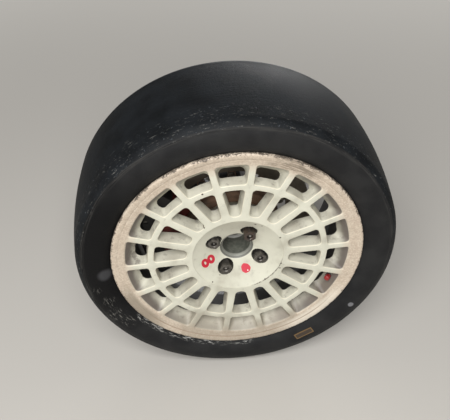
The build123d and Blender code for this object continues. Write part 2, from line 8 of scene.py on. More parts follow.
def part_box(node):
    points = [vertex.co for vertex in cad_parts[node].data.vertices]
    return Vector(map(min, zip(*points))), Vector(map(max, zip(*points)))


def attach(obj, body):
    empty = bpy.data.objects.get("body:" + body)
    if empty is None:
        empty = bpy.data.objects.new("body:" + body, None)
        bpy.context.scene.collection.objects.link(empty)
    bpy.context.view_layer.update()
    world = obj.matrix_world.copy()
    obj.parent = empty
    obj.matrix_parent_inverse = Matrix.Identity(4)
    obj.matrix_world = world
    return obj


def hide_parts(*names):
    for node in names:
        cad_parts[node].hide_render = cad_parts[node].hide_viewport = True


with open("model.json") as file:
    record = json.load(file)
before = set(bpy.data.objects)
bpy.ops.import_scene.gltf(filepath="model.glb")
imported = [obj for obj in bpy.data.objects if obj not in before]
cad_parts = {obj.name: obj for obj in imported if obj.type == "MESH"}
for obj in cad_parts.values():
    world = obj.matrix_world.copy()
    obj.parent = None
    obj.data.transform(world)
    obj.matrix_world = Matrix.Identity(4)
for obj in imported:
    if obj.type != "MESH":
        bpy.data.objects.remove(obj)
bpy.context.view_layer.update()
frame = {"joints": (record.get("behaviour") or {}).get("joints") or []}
mm = 0.001
followRadius = 235.0     # mm, where a pattern that follows the wheel's turn has its true length
hubPoint = Vector(frame["joints"][0]["pos_m"])
rimLow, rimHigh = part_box("rim")
tyreLow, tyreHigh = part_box("tyre")
axle = Vector((hubPoint.x, rimLow.y, hubPoint.z))      # on the axle, in the plane of the rim's outer edge
print("frame loaded, rim", round((rimHigh.x - rimLow.x) / mm, 1), "mm across")


# colour and node helpers
def linear(code):
    # an sRGB hex code as the linear colour that nodes take
    parts = [int(code[i:i + 2], 16) / 255 for i in (1, 3, 5)]
    return (*[c / 12.92 if c <= 0.04045 else ((c + 0.055) / 1.055) ** 2.4 for c in parts], 1.0)


def addNode(tree, kind, settings=None, feeds=None):
    # feeds holds values, or the sockets that feed it, by input name or number
    node = tree.nodes.new("ShaderNode" + kind)
    for name, value in (settings or {}).items():
        setattr(node, name, value)
    for name, value in (feeds or {}).items():
        if isinstance(value, bpy.types.NodeSocket):
            tree.links.new(value, node.inputs[name])
        else:
            node.inputs[name].default_value = value
    return node


def startMaterial(name, colour, roughness, metallic=0.0):
    # the shader with its plain values, and Object coordinates in mm about the axle
    material = bpy.data.materials.new(name)
    material.use_nodes = True
    tree = material.node_tree
    shader = tree.nodes["Principled BSDF"]
    shader.inputs["Base Color"].default_value = linear(colour)
    shader.inputs["Roughness"].default_value = roughness
    shader.inputs["Metallic"].default_value = metallic
    shader.inputs["IOR"].default_value = 1.5     # paint, rubber and oiled steel alike
    material.diffuse_color = linear(colour)
    source = addNode(tree, "TexCoord").outputs["Object"]
    feeds = {"Vector": source, "Location": -axle / mm, "Scale": (1 / mm,) * 3}
    return material, tree, shader, addNode(tree, "Mapping", {}, feeds).outputs["Vector"]


def readPlace(tree, place, plan):
    # what a finish's masks can read, by name: places in mm about the axle, its noises and its groups of spots
    x, y, z = addNode(tree, "SeparateXYZ", {}, {"Vector": place}).outputs
    flat = addNode(tree, "CombineXYZ", {}, {"X": x, "Z": z}).outputs[0]
    radius = addNode(tree, "VectorMath", {"operation": "LENGTH"}, {0: flat}).outputs["Value"]
    turn = addNode(tree, "Math", {"operation": "ARCTAN2"}, {0: z, 1: x}).outputs[0]
    along = addNode(tree, "Math", {"operation": "MULTIPLY"}, {0: turn, 1: followRadius}).outputs[0]
    follow = addNode(tree, "CombineXYZ", {}, {"X": along, "Y": y, "Z": radius}).outputs[0]
    read = dict(x=x, y=y, z=z, radius=radius)
    read["aside"] = addNode(tree, "Math", {"operation": "ABSOLUTE"}, {0: x}).outputs[0]
    for name, (grain, detail, rough) in plan["noises"].items():
        feeds = {"Vector": place, "Scale": 1 / grain, "Detail": detail, "Roughness": rough}
        read[name] = addNode(tree, "TexNoise", {}, feeds).outputs[0]
    for name, (counts, detail, rough) in plan.get("streaks", {}).items():
        pulled = addNode(tree, "Mapping", {}, {"Vector": follow, "Scale": counts}).outputs[0]
        feeds = {"Vector": pulled, "Scale": 1.0, "Detail": detail, "Roughness": rough}
        read[name] = addNode(tree, "TexNoise", {}, feeds).outputs[0]
    for name, spots in plan.get("spots", {}).items():
        read[name] = nearest(tree, flat, spots)
    for name, (value, start, end, low, high) in plan.get("ramps", {}).items():
        feeds = {"Value": read[value], "From Min": start, "From Max": end, "To Min": low, "To Max": high}
        read[name] = addNode(tree, "MapRange", {}, feeds).outputs[0]
    for name, (value, factor, other) in plan.get("sums", {}).items():
        feeds = {0: read[value], 1: factor, 2: read[other]}
        read[name] = addNode(tree, "Math", {"operation": "MULTIPLY_ADD"}, feeds).outputs[0]
    return read


def lay(tree, base, colour, *masks, most=1.0):
    # a colour over another, as far as every mask lets it; a mask is a value and the levels where it sets in
    # and where it is full
    share = most
    for value, low, high in masks:
        share = addNode(tree, "MapRange", {"interpolation_type": "SMOOTHSTEP"},
                        {"Value": value, "From Min": low, "From Max": high, "To Max": share}).outputs[0]
    under, over = [linear(code) if isinstance(code, str) else code for code in (base, colour)]
    mixed = addNode(tree, "Mix", {"data_type": "RGBA"}, {"Factor": share, 6: under, 7: over})
    return mixed.outputs[2], share     # inputs 6 and 7 and output 2 are the ones for colours


def nearest(tree, flat, spots):
    # distance to the nearest of some spots (x, z, radius), where 1 is that spot's own edge
    found = 1000.0
    for x, z, size in spots:
        gap = addNode(tree, "VectorMath", {"operation": "DISTANCE"}, {0: flat, 1: (x, 0, z)}).outputs["Value"]
        gap = addNode(tree, "Math", {"operation": "DIVIDE"}, {0: gap, 1: size}).outputs[0]
        found = addNode(tree, "Math", {"operation": "MINIMUM"}, {0: gap, 1: found}).outputs[0]
    return found


def buildFinish(name, plan):
    # a material from its table: coats of layers over one another, of which the last one shows
    colours = dict(plan.get("colours", {}))
    first = list(plan["coats"].values())[-1][0]
    material, tree, shader, place = startMaterial(name, colours.get(first, first), plan["roughness"],
                                                  plan.get("metallic", 0.0))
    shader.inputs["Specular IOR Level"].default_value = plan.get("specular", 0.5)
    read = readPlace(tree, place, plan)
    for coat, (shown, layers) in plan["coats"].items():
        shown = colours.get(shown, shown)
        for layer, (colour, most, *masks) in layers.items():
            masks = [(read[value], low, high) for value, low, high in masks]
            shown, read[layer] = lay(tree, shown, colours.get(colour, colour), *masks, most=most)
        colours[coat] = shown
    value, low, high = plan["gloss"]
    rough = addNode(tree, "MapRange", {}, {"Value": read[value], "To Min": low, "To Max": high}).outputs[0]
    tree.links.new(shown, shader.inputs["Base Color"])
    tree.links.new(rough, shader.inputs["Roughness"])
    feeds = {}
    for value, deep in plan["bumps"]:
        feeds |= {"Height": read[value], "Distance": deep * mm, "Strength": 1.0}
        feeds["Normal"] = addNode(tree, "Bump", {}, feeds).outputs[0]
    tree.links.new(feeds["Normal"], shader.inputs["Normal"])
    return material


# mesh helpers: everything is shaped in mm about the wheel's axis, then seated in the frame
def addPiece(bm, name, material, sharp):
    # smooth up to an angle, sharp past it
    mesh = bpy.data.meshes.new(name)
    bm.to_mesh(mesh)
    bm.free()
    for face in mesh.polygons:
        face.use_smooth = True
    mesh.set_sharp_from_angle(angle=radians(sharp))
    mesh.materials.append(material)
    piece = bpy.data.objects.new(name, mesh)
    bpy.context.collection.objects.link(piece)
    return piece


def seat(bm, name, material, body="wheel", sharp=38.0):
    bmesh.ops.scale(bm, vec=(mm, mm, mm), verts=bm.verts)
    bmesh.ops.translate(bm, vec=axle, verts=bm.verts)
    piece = addPiece(bm, name, material, sharp)
    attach(piece, body)
    return piece


def pour(source, target):
    # one bmesh into another
    part = bpy.data.meshes.new("part")
    source.to_mesh(part)
    source.free()
    target.from_mesh(part)
    bpy.data.meshes.remove(part)


def turned(points, steps, closed=True):
    # a section of (radius, y) spun about the axle
    bm = bmesh.new()
    line = [bm.verts.new((r, y, 0)) for r, y in points]
    for first, second in zip(line, line[1:]):
        bm.edges.new((first, second))
    if closed:
        bm.edges.new((line[-1], line[0]))
    bmesh.ops.spin(bm, geom=bm.verts[:] + bm.edges[:], cent=(0, 0, 0), axis=(0, 1, 0), angle=2 * pi,
                   steps=steps, use_merge=True)
    bmesh.ops.remove_doubles(bm, verts=bm.verts, dist=0.002)
    bmesh.ops.recalc_face_normals(bm, faces=bm.faces)
    return bm


def drawOn(bm, edges):
    # extrudes a loop of edges in place, and gives the new loop's edges and verts
    made = bmesh.ops.extrude_edge_only(bm, edges=edges)["geom"]
    edges = [item for item in made if isinstance(item, bmesh.types.BMEdge)]
    return edges, {vert for edge in edges for vert in edge.verts}


def sweep(bm, edges, points):
    # draws a closed loop of edges on through rings of (radius, y), and gives the last loop
    for radius, y in points:
        edges, verts = drawOn(bm, edges)
        for vert in verts:
            turn = atan2(vert.co.z, vert.co.x)
            vert.co = (radius * cos(turn), y, radius * sin(turn))
    return edges


def arcPoints(first, middle, last, count):
    # points from first to last on the circle through all three, without first
    (ax, ay), (bx, by), (cx, cy) = first, middle, last
    d = 2 * (ax * (by - cy) + bx * (cy - ay) + cx * (ay - by))
    a, b, c = ax * ax + ay * ay, bx * bx + by * by, cx * cx + cy * cy
    ux = (a * (by - cy) + b * (cy - ay) + c * (ay - by)) / d
    uy = (a * (cx - bx) + b * (ax - cx) + c * (bx - ax)) / d
    start, end = atan2(ay - uy, ax - ux), atan2(cy - uy, cx - ux)
    if abs(end - start) > pi:
        end += 2 * pi if end < start else -2 * pi
    radius = hypot(ax - ux, ay - uy)
    turns = [start + (end - start) * k / count for k in range(1, count + 1)]
    return [(ux + radius * cos(t), uy + radius * sin(t)) for t in turns]


# rim: one casting with two rows of windows
rimPlan = dict(
    spokes=18, firstSpoke=3.26,
    # at the face and at the back: where the spokes' part begins and ends, and each row's windows
    face=dict(hub=85.5, lip=216.0, rows=(dict(ends=(96.0, 157.0), webs=(15.2, 12.7), corners=(8.4, 7.0)),
                                         dict(ends=(168.0, 211.5), webs=(11.6, 11.6), corners=(5.5, 5.5)))),
    back=dict(hub=88.0, lip=192.0, rows=(dict(ends=(98.0, 156.6), webs=(20.5, 19.5), corners=(5.5, 5.0)),
                                         dict(ends=(170.0, 190.5), webs=(15.5, 15.5), corners=(5.5, 12.0)))),
    fan=(1.6, 3.2, 5.0, 7.5), webCuts=(0.25, 0.5, 0.75), cornerSteps=6, frontEdge=1.1, backEdge=0.7,
    # from here on (radius, y), y from the plane of the outer edge
    faceHeights=((93.0, 5.5), (159.0, 4.2), (213.5, 4.2), (216.0, 3.7)),
    backHeights=((88.0, 50.0), (96.0, 37.0), (158.5, 28.0)),
    dishTop=(85.4, 5.9), dish=((85.2, 6.9), (60.0, 20.6), (31.0, 34.0)), dishSteps=16,
    hub=((30.6, 34.6), (29.15, 36.0), (29.05, 36.6), (29.05, 77.0), (30.05, 78.0), (72.0, 78.0), (73.0, 77.0),
         (78.0, 71.0)),
    lip=((219.2, 2.9), (221.6, 2.3), (222.2, 2.45), (223.0, 2.35), (223.7, 1.8), (226.0, 1.1), (228.4, 0.5)),
    barrel=((225.2, 12.8), (219.2, 13.0), (217.4, 33), (198.5, 52), (198.5, 92), (214.3, 150)),
    inside=((207.8, 150), (202.5, 124), (194.5, 98), (192.4, 94), (192, 90), (192, 30)),
    # y from the inboard edge instead
    inboardSeat=((217.4, 33), (219.2, 13), (225.2, 12.8)), inboardMouth=((218.3, 3), (211, 9), (208.8, 14)),
    # the flanges' rounded edges: how far inside the rim's own radius, and y from that side's edge
    flange=((4.5, 0.02), (2.6, 0.05), (1.0, 0.9), (0.05, 2.6), (0, 5.0), (0.1, 7.0), (3, 10.5)),
    inboardFlange=((3, 10.5), (0.2, 7), (0, 3.5), (1.0, 0.9), (3, 0), (8, 0)),
    # nuts' pockets and studs, and from where to where the plugs that cut them reach
    pocket=15.5, pocketFloor=45.0, pocketEdge=0.7, studHole=6.8, studCircle=49.0, firstStud=63.5,
    plug=(-5, 90),
    valveTurn=-24.0, valveTip=(190.2, 6.5), valveTilt=33.0, valveHole=5.8, valveBore=(7.5, 47.0),
)


def ringPoint(radius, turn):
    return Vector((radius * cos(turn), 0, radius * sin(turn)))


def roundCorner(before, corner, after, size, steps):
    # points of the arc of that radius that rounds a corner
    first, second = (before - corner).normalized(), (after - corner).normalized()
    opening = first.angle(second)
    centre = corner + (first + second).normalized() * size / sin(opening / 2)
    start = corner + first * size / tan(opening / 2) - centre
    end = corner + second * size / tan(opening / 2) - centre
    spokes = [start.slerp(end, k / steps) for k in range(steps + 1)]
    return [centre + spoke * size / spoke.length for spoke in spokes]


def windowSide(plan, row, half):
    # half a window's outline beside a spoke, from its inner end out, and which points lie along the web
    low, high = [asin(web / 2 / radius) for web, radius in zip(row["webs"], row["ends"])]
    inEnd, outEnd = row["ends"]
    inner, outer = ringPoint(inEnd, low), ringPoint(outEnd, high)
    beside, steps = 0.02, plan["cornerSteps"]     # a turn that only gives the direction along the end's arc
    first = roundCorner(ringPoint(inEnd, low + beside), inner, outer, row["corners"][0], steps)
    second = roundCorner(inner, outer, ringPoint(outEnd, high + beside), row["corners"][1], steps)
    web = [first[-1].lerp(second[0], share) for share in plan["webCuts"]]
    starts = [atan2(arc.z, arc.x) for arc in (first[0], second[-1])]
    inArc, outArc = [[ringPoint(radius, start + (half - start) * k / 3) for k in (1, 2, 3)]
                     for radius, start in zip(row["ends"], starts)]
    along = range(len(inArc) + len(first) - 1, len(inArc) + len(first) + len(web) + 1)
    return inArc[::-1] + first + web + second + outArc, along


def spokeSide(plan, shape, half):
    # one side of a spoke with the rings it stands between, from the hub out
    fan = [radians(turn) for turn in plan["fan"]]
    points = [ringPoint(shape["hub"], turn) for turn in fan[1:] + [half]]
    windows, chords = [], []
    for row in shape["rows"]:
        run, along = windowSide(plan, row, half)
        windows += range(len(points), len(points) + len(run) - 1)
        chords += [len(points) + place for place in along]
        points += run
    return points + [ringPoint(shape["lip"], turn) for turn in [half] + fan[::-1]], windows, chords


def heightAt(heights, radius):
    # y on a line of (radius, y) points
    for (r0, y0), (r1, y1) in zip(heights, heights[1:]):
        if radius < r1:
            return y0 + (y1 - y0) * max(0, (radius - r0) / (r1 - r0))
    return heights[-1][1]


def rimSector(bm, plan):
    # one spoke with half a window on each side: its face, its back and the windows' walls, edges marked
    half = pi / plan["spokes"]
    layers = []
    for shape, heights in ((plan["face"], plan["faceHeights"]), (plan["back"], plan["backHeights"])):
        side, windows, chords = spokeSide(plan, shape, half)
        rings = [[ringPoint(shape["hub"], 0)] + side + [ringPoint(shape["lip"], 0)],
                 [Vector((point.x, 0, -point.z)) for point in side]]
        for point in rings[0] + rings[1]:
            point.y = heightAt(heights, point.length)
        left, right = [[bm.verts.new(point) for point in ring] for ring in rings]
        hub, left, lip = left[0], left[1:-1], left[-1]
        layers.append((left, right))
        bm.faces.new([hub] + left[:chords[0] + 1] + right[chords[0]::-1])
        for start, end in zip(chords, chords[1:]):
            bm.faces.new(left[start:end + 1] + right[start:end + 1][::-1])
        bm.faces.new(left[chords[-1]:] + [lip] + right[:chords[-1] - 1:-1])
    for face, back in zip(*layers):
        for place in windows:
            bm.faces.new((face[place], face[place + 1], back[place + 1], back[place]))
            for line in (face, back):
                bm.edges.get((line[place], line[place + 1])).seam = True


def rimShape(plan):
    bm = bmesh.new()
    rimSector(bm, plan)
    more = plan["spokes"] - 1
    bmesh.ops.spin(bm, geom=bm.verts[:] + bm.edges[:] + bm.faces[:], cent=(0, 0, 0), axis=(0, 1, 0),
                   angle=-2 * pi * more / plan["spokes"], steps=more, use_duplicate=True)
    bmesh.ops.remove_doubles(bm, verts=bm.verts, dist=0.02)
    bmesh.ops.recalc_face_normals(bm, faces=bm.faces)
    middle = 15     # y between the windows' front edges and their back edges
    for near, size in ((True, plan["frontEdge"]), (False, plan["backEdge"])):
        edges = [edge for edge in bm.edges if edge.seam and (edge.verts[0].co.y < middle) == near]
        bmesh.ops.bevel(bm, geom=edges, offset=size, offset_type="OFFSET", affect="EDGES", segments=3,
                        profile=0.5, material=-1, clamp_overlap=False)
    return bm


def ringRadius(vert):
    return hypot(vert.co.x, vert.co.z)


def openLoop(bm, radius, heights, slack=0.6):
    # the open edges that lie at a radius
    y = heightAt(heights, radius)
    verts = {vert for vert in bm.verts if max(abs(ringRadius(vert) - radius), abs(vert.co.y - y)) < slack}
    return [edge for edge in bm.edges if edge.is_boundary and verts.issuperset(edge.verts)]


def closeRim(bm, plan):
    # dish, bore, pad, lip, bead seats and barrel, each drawn on from the spokes' loops
    face, back = plan["face"], plan["back"]
    edge, width = (rimHigh.x - rimLow.x) / mm / 2, (rimHigh.y - rimLow.y) / mm
    front = [plan["dishTop"], plan["dish"][0]] + arcPoints(*plan["dish"], plan["dishSteps"])
    front += plan["hub"]
    hub = sweep(bm, openLoop(bm, face["hub"], plan["faceHeights"]), front)
    bmesh.ops.bridge_loops(bm, edges=hub + openLoop(bm, back["hub"], plan["backHeights"]))
    outer = list(plan["lip"]) + [(edge - less, y) for less, y in plan["flange"]] + list(plan["barrel"])
    outer += [(radius, width - y) for radius, y in plan["inboardSeat"]]
    outer += [(edge - less, width - y) for less, y in plan["inboardFlange"]]
    outer += [(radius, width - y) for radius, y in plan["inboardMouth"]] + list(plan["inside"])
    barrel = sweep(bm, openLoop(bm, face["lip"], plan["faceHeights"]), outer)
    bmesh.ops.bridge_loops(bm, edges=barrel + openLoop(bm, back["lip"], plan["backHeights"]))
    bmesh.ops.recalc_face_normals(bm, faces=bm.faces)


def studPlace(plan, index):
    return ringPoint(plan["studCircle"], radians(plan["firstStud"] + 90 * index))


def valvePlace(plan):
    # from a piece drawn along +Y to the leaning valve
    tip, y = plan["valveTip"]
    turn = Matrix.Rotation(-radians(plan["valveTurn"]), 4, "Y")
    return turn @ Matrix.Translation((tip, y, 0)) @ Matrix.Rotation(-radians(plan["valveTilt"]), 4, "Z")


def cutHoles(bm, plan):
    # the nuts' pockets with their stud holes, and the valve's hole, cut by a solid of plugs
    start, end = plan["plug"]
    pocket = ((0, start), (plan["pocket"], start), (plan["pocket"], plan["pocketFloor"]),
              (plan["studHole"], plan["pocketFloor"]), (plan["studHole"], end), (0, end))
    start, end = plan["valveBore"]
    valve = ((0, start), (plan["valveHole"], start), (plan["valveHole"], end), (0, end))
    shapes = [(pocket, Matrix.Translation(studPlace(plan, index))) for index in range(4)]
    plugs = bmesh.new()
    for shape, place in shapes + [(valve, valvePlace(plan))]:
        plug = turned(shape, steps=48, closed=False)
        bmesh.ops.transform(plug, matrix=place, verts=plug.verts)
        pour(plug, plugs)
    meshes = []
    for source, name in ((bm, "blank"), (plugs, "plugs")):
        mesh = bpy.data.meshes.new(name)
        source.to_mesh(mesh)
        source.free()
        meshes.append(mesh)
    blank, tool = [bpy.data.objects.new(mesh.name, mesh) for mesh in meshes]
    for item in (blank, tool):
        bpy.context.collection.objects.link(item)
    cut = blank.modifiers.new("cut", "BOOLEAN")
    cut.operation, cut.solver, cut.object = "DIFFERENCE", "EXACT", tool
    graph = bpy.context.evaluated_depsgraph_get()
    result = bmesh.new()
    result.from_mesh(blank.evaluated_get(graph).to_mesh())
    for item, mesh in ((blank, meshes[0]), (tool, meshes[1])):
        bpy.data.objects.remove(item)
        bpy.data.meshes.remove(mesh)
    mouths = []     # edges on a pocket's wall, off its floor, that don't run down it
    steep, slack = 0.75, 0.02
    for edge in result.edges:
        run = edge.verts[1].co - edge.verts[0].co
        if run.length < 1e-5 or abs(run.y) / run.length > steep:
            continue
        for index in range(4):
            place = studPlace(plan, index)
            gaps = [hypot(vert.co.x - place.x, vert.co.z - place.z) for vert in edge.verts]
            above = all(vert.co.y < plan["pocketFloor"] - 1 for vert in edge.verts)
            if above and all(abs(gap - plan["pocket"]) < slack for gap in gaps):
                mouths.append(edge)
    bmesh.ops.bevel(result, geom=mouths, offset=plan["pocketEdge"], affect="EDGES", segments=2, profile=0.5,
                    material=-1)
    return result


def buildRim(material):
    plan = rimPlan
    bm = rimShape(plan)
    closeRim(bm, plan)
    turn = Matrix.Rotation(-radians(plan["firstSpoke"]), 3, "Y")
    bmesh.ops.rotate(bm, cent=(0, 0, 0), matrix=turn, verts=bm.verts)
    print("rim closed:", sum(edge.is_boundary for edge in bm.edges), "open edges")
    bm = cutHoles(bm, plan)
    print("rim", len(bm.faces), "faces,", sum(not edge.is_manifold for edge in bm.edges), "loose edges")
    piece = seat(bm, "rim_casting", material)
    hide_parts("rim")


# tyre: a worn slick, its sidewall bulging past the rim
tyrePlan = dict(
    steps=240,
    # all as (radius, y), but overEdge starts from the rim's own radius
    bead=((218.2, 31.0), (219.5, 14.6), (220.7, 13.3), (229.8, 13.3)),
    overEdge=((-2.2, 10.8), (0.25, 8.2), (0.9, 6.2), (2.4, 4.9), (3.6, 4.4)), leaveEdge=(11.0, -1.0),
    bulge=(264.0, -5.5), upper=(277.0, -5.1), wallEnd=(287.2, -1.2), wallSteps=(7, 6),
    ridge=((288.2, -1.2), (289.4, -0.9), (290.2, 0.4), (291.4, 1.4)),     # worn, where the shoulder starts
    shoulder=(297.4, 8.2), treadEdge=(301.0, 21.0), shoulderSteps=8, crownSteps=18,
    cavity=((291.0, 40.0), (284.0, 15.0), (264.0, 4.0), (243.8, 16.0), (226.4, 31.0)),
)


def sidewall(plan):
    # from the rim's edge out to the shoulder
    edge = (rimHigh.x - rimLow.x) / mm / 2
    start, rise = [(edge + more, y) for more, y in (plan["overEdge"][-1], plan["leaveEdge"])]
    low, high = plan["wallSteps"]
    line = [start] + arcPoints(start, rise, plan["bulge"], low)
    return line + arcPoints(plan["bulge"], plan["upper"], plan["wallEnd"], high) + list(plan["ridge"])


def sideHeight(radius):
    return heightAt(sidewall(tyrePlan), radius)


def buildTyre(material):
    plan = tyrePlan
    tread, edge = (tyreHigh.x - tyreLow.x) / mm / 2, (rimHigh.x - rimLow.x) / mm / 2
    width = (rimHigh.y - rimLow.y) / mm
    treadR, treadY = plan["treadEdge"]
    side = list(plan["bead"]) + [(edge + more, y) for more, y in plan["overEdge"][:-1]] + sidewall(plan)
    side += arcPoints(plan["ridge"][-1], plan["shoulder"], plan["treadEdge"], plan["shoulderSteps"])
    crown = arcPoints(plan["treadEdge"], (tread, width / 2), (treadR, width - treadY), plan["crownSteps"])
    cavity = [(radius, width - y) for radius, y in plan["cavity"]]
    shape = side + crown + [(radius, width - y) for radius, y in reversed(side[:-1])]
    shape += reversed(cavity)
    shape += [(radius, width - y) for radius, y in cavity]
    bm = turned(shape, plan["steps"])
    print("tyre", len(bm.faces), "faces")
    piece = seat(bm, "tyre_slick", material, sharp=50)
    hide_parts("tyre")


# wheel nuts and studs
nutPlan = dict(
    acrossFlats=21.0, corner=0.8, hole=5.6, cone=4.5, coneShare=0.8, backIn=(2.2, 1.0),
    # the end's broken edges, across and down: outside, where the flats reach it, and at the hole
    endEdge=(0.1, 0.4), flatsEnd=1.5, holeMouth=(1.1, 1.2),
    # how far each nut stands out from a plane at a depth, and how much further round each is turned
    proud=(16.0, 6.5, 6.5, 6.5), mouth=24.0, turn=17.0,
    # studs, as (radius, y): the tip from a plane so far inside the nut, and the head from the rim's edge
    tipIn=4.5, tip=((0, 1.9), (1.6, 1.4), (3.2, 0), (4.2, 0), (5.4, 1.2)),
    head=((5.4, 98), (8.5, 98), (8.5, 101.5), (0, 101.5)),
)


def nutShape(plan, top, base):
    # a hexagon with broken corners, drawn out to the nut's end, through its hole and back to the cone
    bm = bmesh.new()
    flat, hole = plan["acrossFlats"] / 2, plan["hole"]
    ring = bmesh.ops.create_circle(bm, segments=6, radius=flat / cos(pi / 6), cap_ends=False)["verts"]
    bmesh.ops.rotate(bm, cent=(0, 0, 0), verts=ring, matrix=Matrix.Rotation(pi / 2, 3, "X"))
    bmesh.ops.bevel(bm, geom=bm.verts[:], offset=plan["corner"], affect="VERTICES", segments=2, profile=0.5,
                    material=-1)
    edges = bm.edges[:]
    endIn, endDown = plan["endEdge"]
    for y in (base - plan["cone"], top + plan["flatsEnd"], top + endDown):
        edges, verts = drawOn(bm, edges)
        for vert in verts:
            vert.co.y = y
    (mouthIn, mouthDown), (backIn, backUp) = plan["holeMouth"], plan["backIn"]
    edges = sweep(bm, edges, ((flat - endIn, top), (hole + mouthIn, top), (hole, top + mouthDown),
                              (hole, base - backUp), (flat - backIn, base)))
    for vert in bm.verts:
        if abs(vert.co.y) < 0.01:     # the hexagon that it started from goes to the cone's foot
            vert.co = (vert.co.x * plan["coneShare"], base, vert.co.z * plan["coneShare"])
    edges += [edge for edge in bm.edges if edge.is_boundary and edge not in edges]
    bmesh.ops.bridge_loops(bm, edges=edges)
    bmesh.ops.recalc_face_normals(bm, faces=bm.faces)
    return bm


def buildNuts(nutSteel, studSteel):
    plan, rim = nutPlan, rimPlan
    nuts, studs = bmesh.new(), bmesh.new()
    for index, proud in enumerate(plan["proud"]):
        top = plan["mouth"] - proud
        nut = nutShape(plan, top, rim["pocketFloor"])
        bmesh.ops.rotate(nut, cent=(0, 0, 0), verts=nut.verts,
                         matrix=Matrix.Rotation(-radians(plan["turn"] * index), 3, "Y"))
        tip = [(radius, top + plan["tipIn"] + y) for radius, y in plan["tip"]]
        stud = turned(tip + list(plan["head"]), steps=32, closed=False)
        for source, target in ((nut, nuts), (stud, studs)):
            bmesh.ops.translate(source, vec=studPlace(rim, index), verts=source.verts)
            pour(source, target)
    for bm, name, node, material in ((nuts, "nuts_turned", "wheel_nuts", nutSteel),
                                     (studs, "studs_rolled", "wheel_studs", studSteel)):
        piece = seat(bm, name, material)
        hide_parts(node)


# valve cap: a moulded one, ribbed for the fingers, drawn along +Y from its end
capPlan = dict(
    radius=5.6, length=12.0, lead=(0.5, 0.6), wall=2.7, bore=3.3, ribs=18, groove=0.45,
    end=((0, 0), (3.4, 0.0), (4.7, 0.8), (5.5, 2.2), (5.6, 3.0)),
)


def buildCap(material):
    plan = capPlan
    radius, length, bore, (leadIn, leadUp) = plan["radius"], plan["length"], plan["bore"], plan["lead"]
    shape = list(plan["end"]) + [(radius, length - leadUp), (radius - leadIn, length), (bore, length),
                                 (bore, plan["wall"]), (0, plan["wall"])]
    bm = turned(shape, steps=4 * plan["ribs"], closed=False)
    for vert in bm.verts:
        # a rib and its groove take four steps, the last two of them the groove
        size = ringRadius(vert)
        step = round(atan2(vert.co.z, vert.co.x) / (pi / 2 / plan["ribs"])) % 4
        if size > radius - 0.2 and step > 1:
            vert.co.x *= 1 - plan["groove"] / size
            vert.co.z *= 1 - plan["groove"] / size
    bmesh.ops.transform(bm, matrix=valvePlace(rimPlan), verts=bm.verts)
    piece = seat(bm, "cap_ribbed", material, sharp=30)
    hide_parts("valve_cap")


